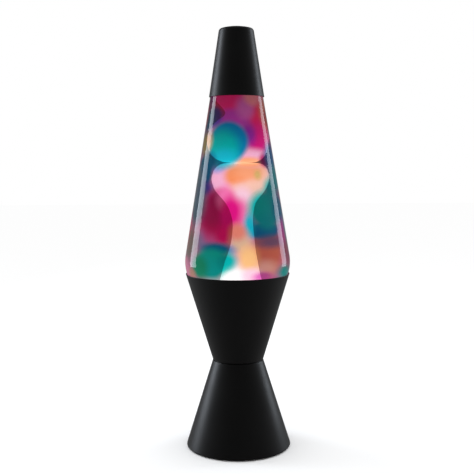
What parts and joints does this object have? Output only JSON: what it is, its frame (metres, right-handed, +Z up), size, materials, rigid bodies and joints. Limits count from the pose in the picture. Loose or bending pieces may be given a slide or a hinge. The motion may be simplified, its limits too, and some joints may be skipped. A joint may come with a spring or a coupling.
{
  "type": "motion lamp",
  "caption": "Table motion lamp: tapered, tinted, liquid-filled glass globe with wax in an hourglass metal base, under a tapered metal cap; globe, cap and bulb come out.",
  "frame": {"origin": "centre of the lamp's axis on the surface it stands on", "axes": "+Z up along the axis, -Y towards the front, +Y towards the cord inlet at the back of the foot"},
  "size_m": [0.0924, 0.0924, 0.3683],
  "materials": {
    "black_paint": "satin black enamel on spun sheet metal",
    "black_board": "matt black pressed board",
    "black_rubber": "moulded rubber",
    "black_plastic": "soft moulded plastic",
    "white_plastic": "soft moulded plastic",
    "orange_plastic": "moulded plastic",
    "zinc_plate": "zinc-plated steel",
    "porcelain": "glazed porcelain",
    "brass_sheet": "pressed brass",
    "tin_solder": "soldered tin",
    "black_glass": "dark fused glass",
    "bulb_aluminium": "rolled aluminium",
    "clear_glass": "clear blown glass",
    "filament": "coiled tungsten",
    "tinted_glass": "glass with a transparent many-coloured coating",
    "crown_tin": "lacquered tinplate",
    "clear_liquid": "clear water-based liquid",
    "wax": "soft white wax, lit from below"
  },
  "bodies": {
    "base": {"foot_shell": "black_paint", "base_cup": "black_paint", "bottom_cover": "black_board", "rubber_feet": "black_rubber", "cord_grommet": "black_plastic", "socket_bracket": "zinc_plate", "waist_screws": "zinc_plate", "waist_nuts": "zinc_plate", "socket_screws": "zinc_plate", "socket_body": "porcelain", "socket_shell": "brass_sheet", "socket_contact": "brass_sheet", "lead_wire_live": "black_plastic", "lead_wire_neutral": "white_plastic", "wire_connectors": "orange_plastic"},
    "globe": {"globe_glass": "tinted_glass", "crown_cap": "crown_tin", "crown_liner": "white_plastic", "liquid": "clear_liquid", "wax_column": "wax", "wax_upper_blob": "wax", "heating_coil": "zinc_plate"},
    "cap": {"top_cap": "black_paint"},
    "bulb_carrier": {"bulb_contact": "tin_solder", "bulb_insulator": "black_glass"},
    "bulb": {"bulb_screw_shell": "bulb_aluminium", "bulb_glass": "clear_glass", "bulb_stem": "clear_glass", "bulb_lead_ins": "zinc_plate", "bulb_filament": "filament"}
  },
  "joints": [
    {"name": "globe_lift", "type": "slide", "parent": "base", "child": "globe", "axis": [0, 0, 1], "range_m": [0, 0.08]},
    {"name": "cap_lift", "type": "slide", "parent": "globe", "child": "cap", "axis": [0, 0, 1], "range_m": [0, 0.06]},
    {"name": "bulb_rise", "type": "slide", "parent": "base", "child": "bulb_carrier", "axis": [0, 0, 1], "range_m": [0, 0.0113]},
    {"name": "bulb_turn", "type": "hinge", "parent": "bulb_carrier", "child": "bulb", "pos_m": [0, 0, 0.074], "axis": [0, 0, 1], "range_deg": [0, 1440]}
  ],
  "couplings": [
    {"joint": "bulb_rise", "follows": "bulb_turn", "m_per_rad": 0.00044914}
  ]
}
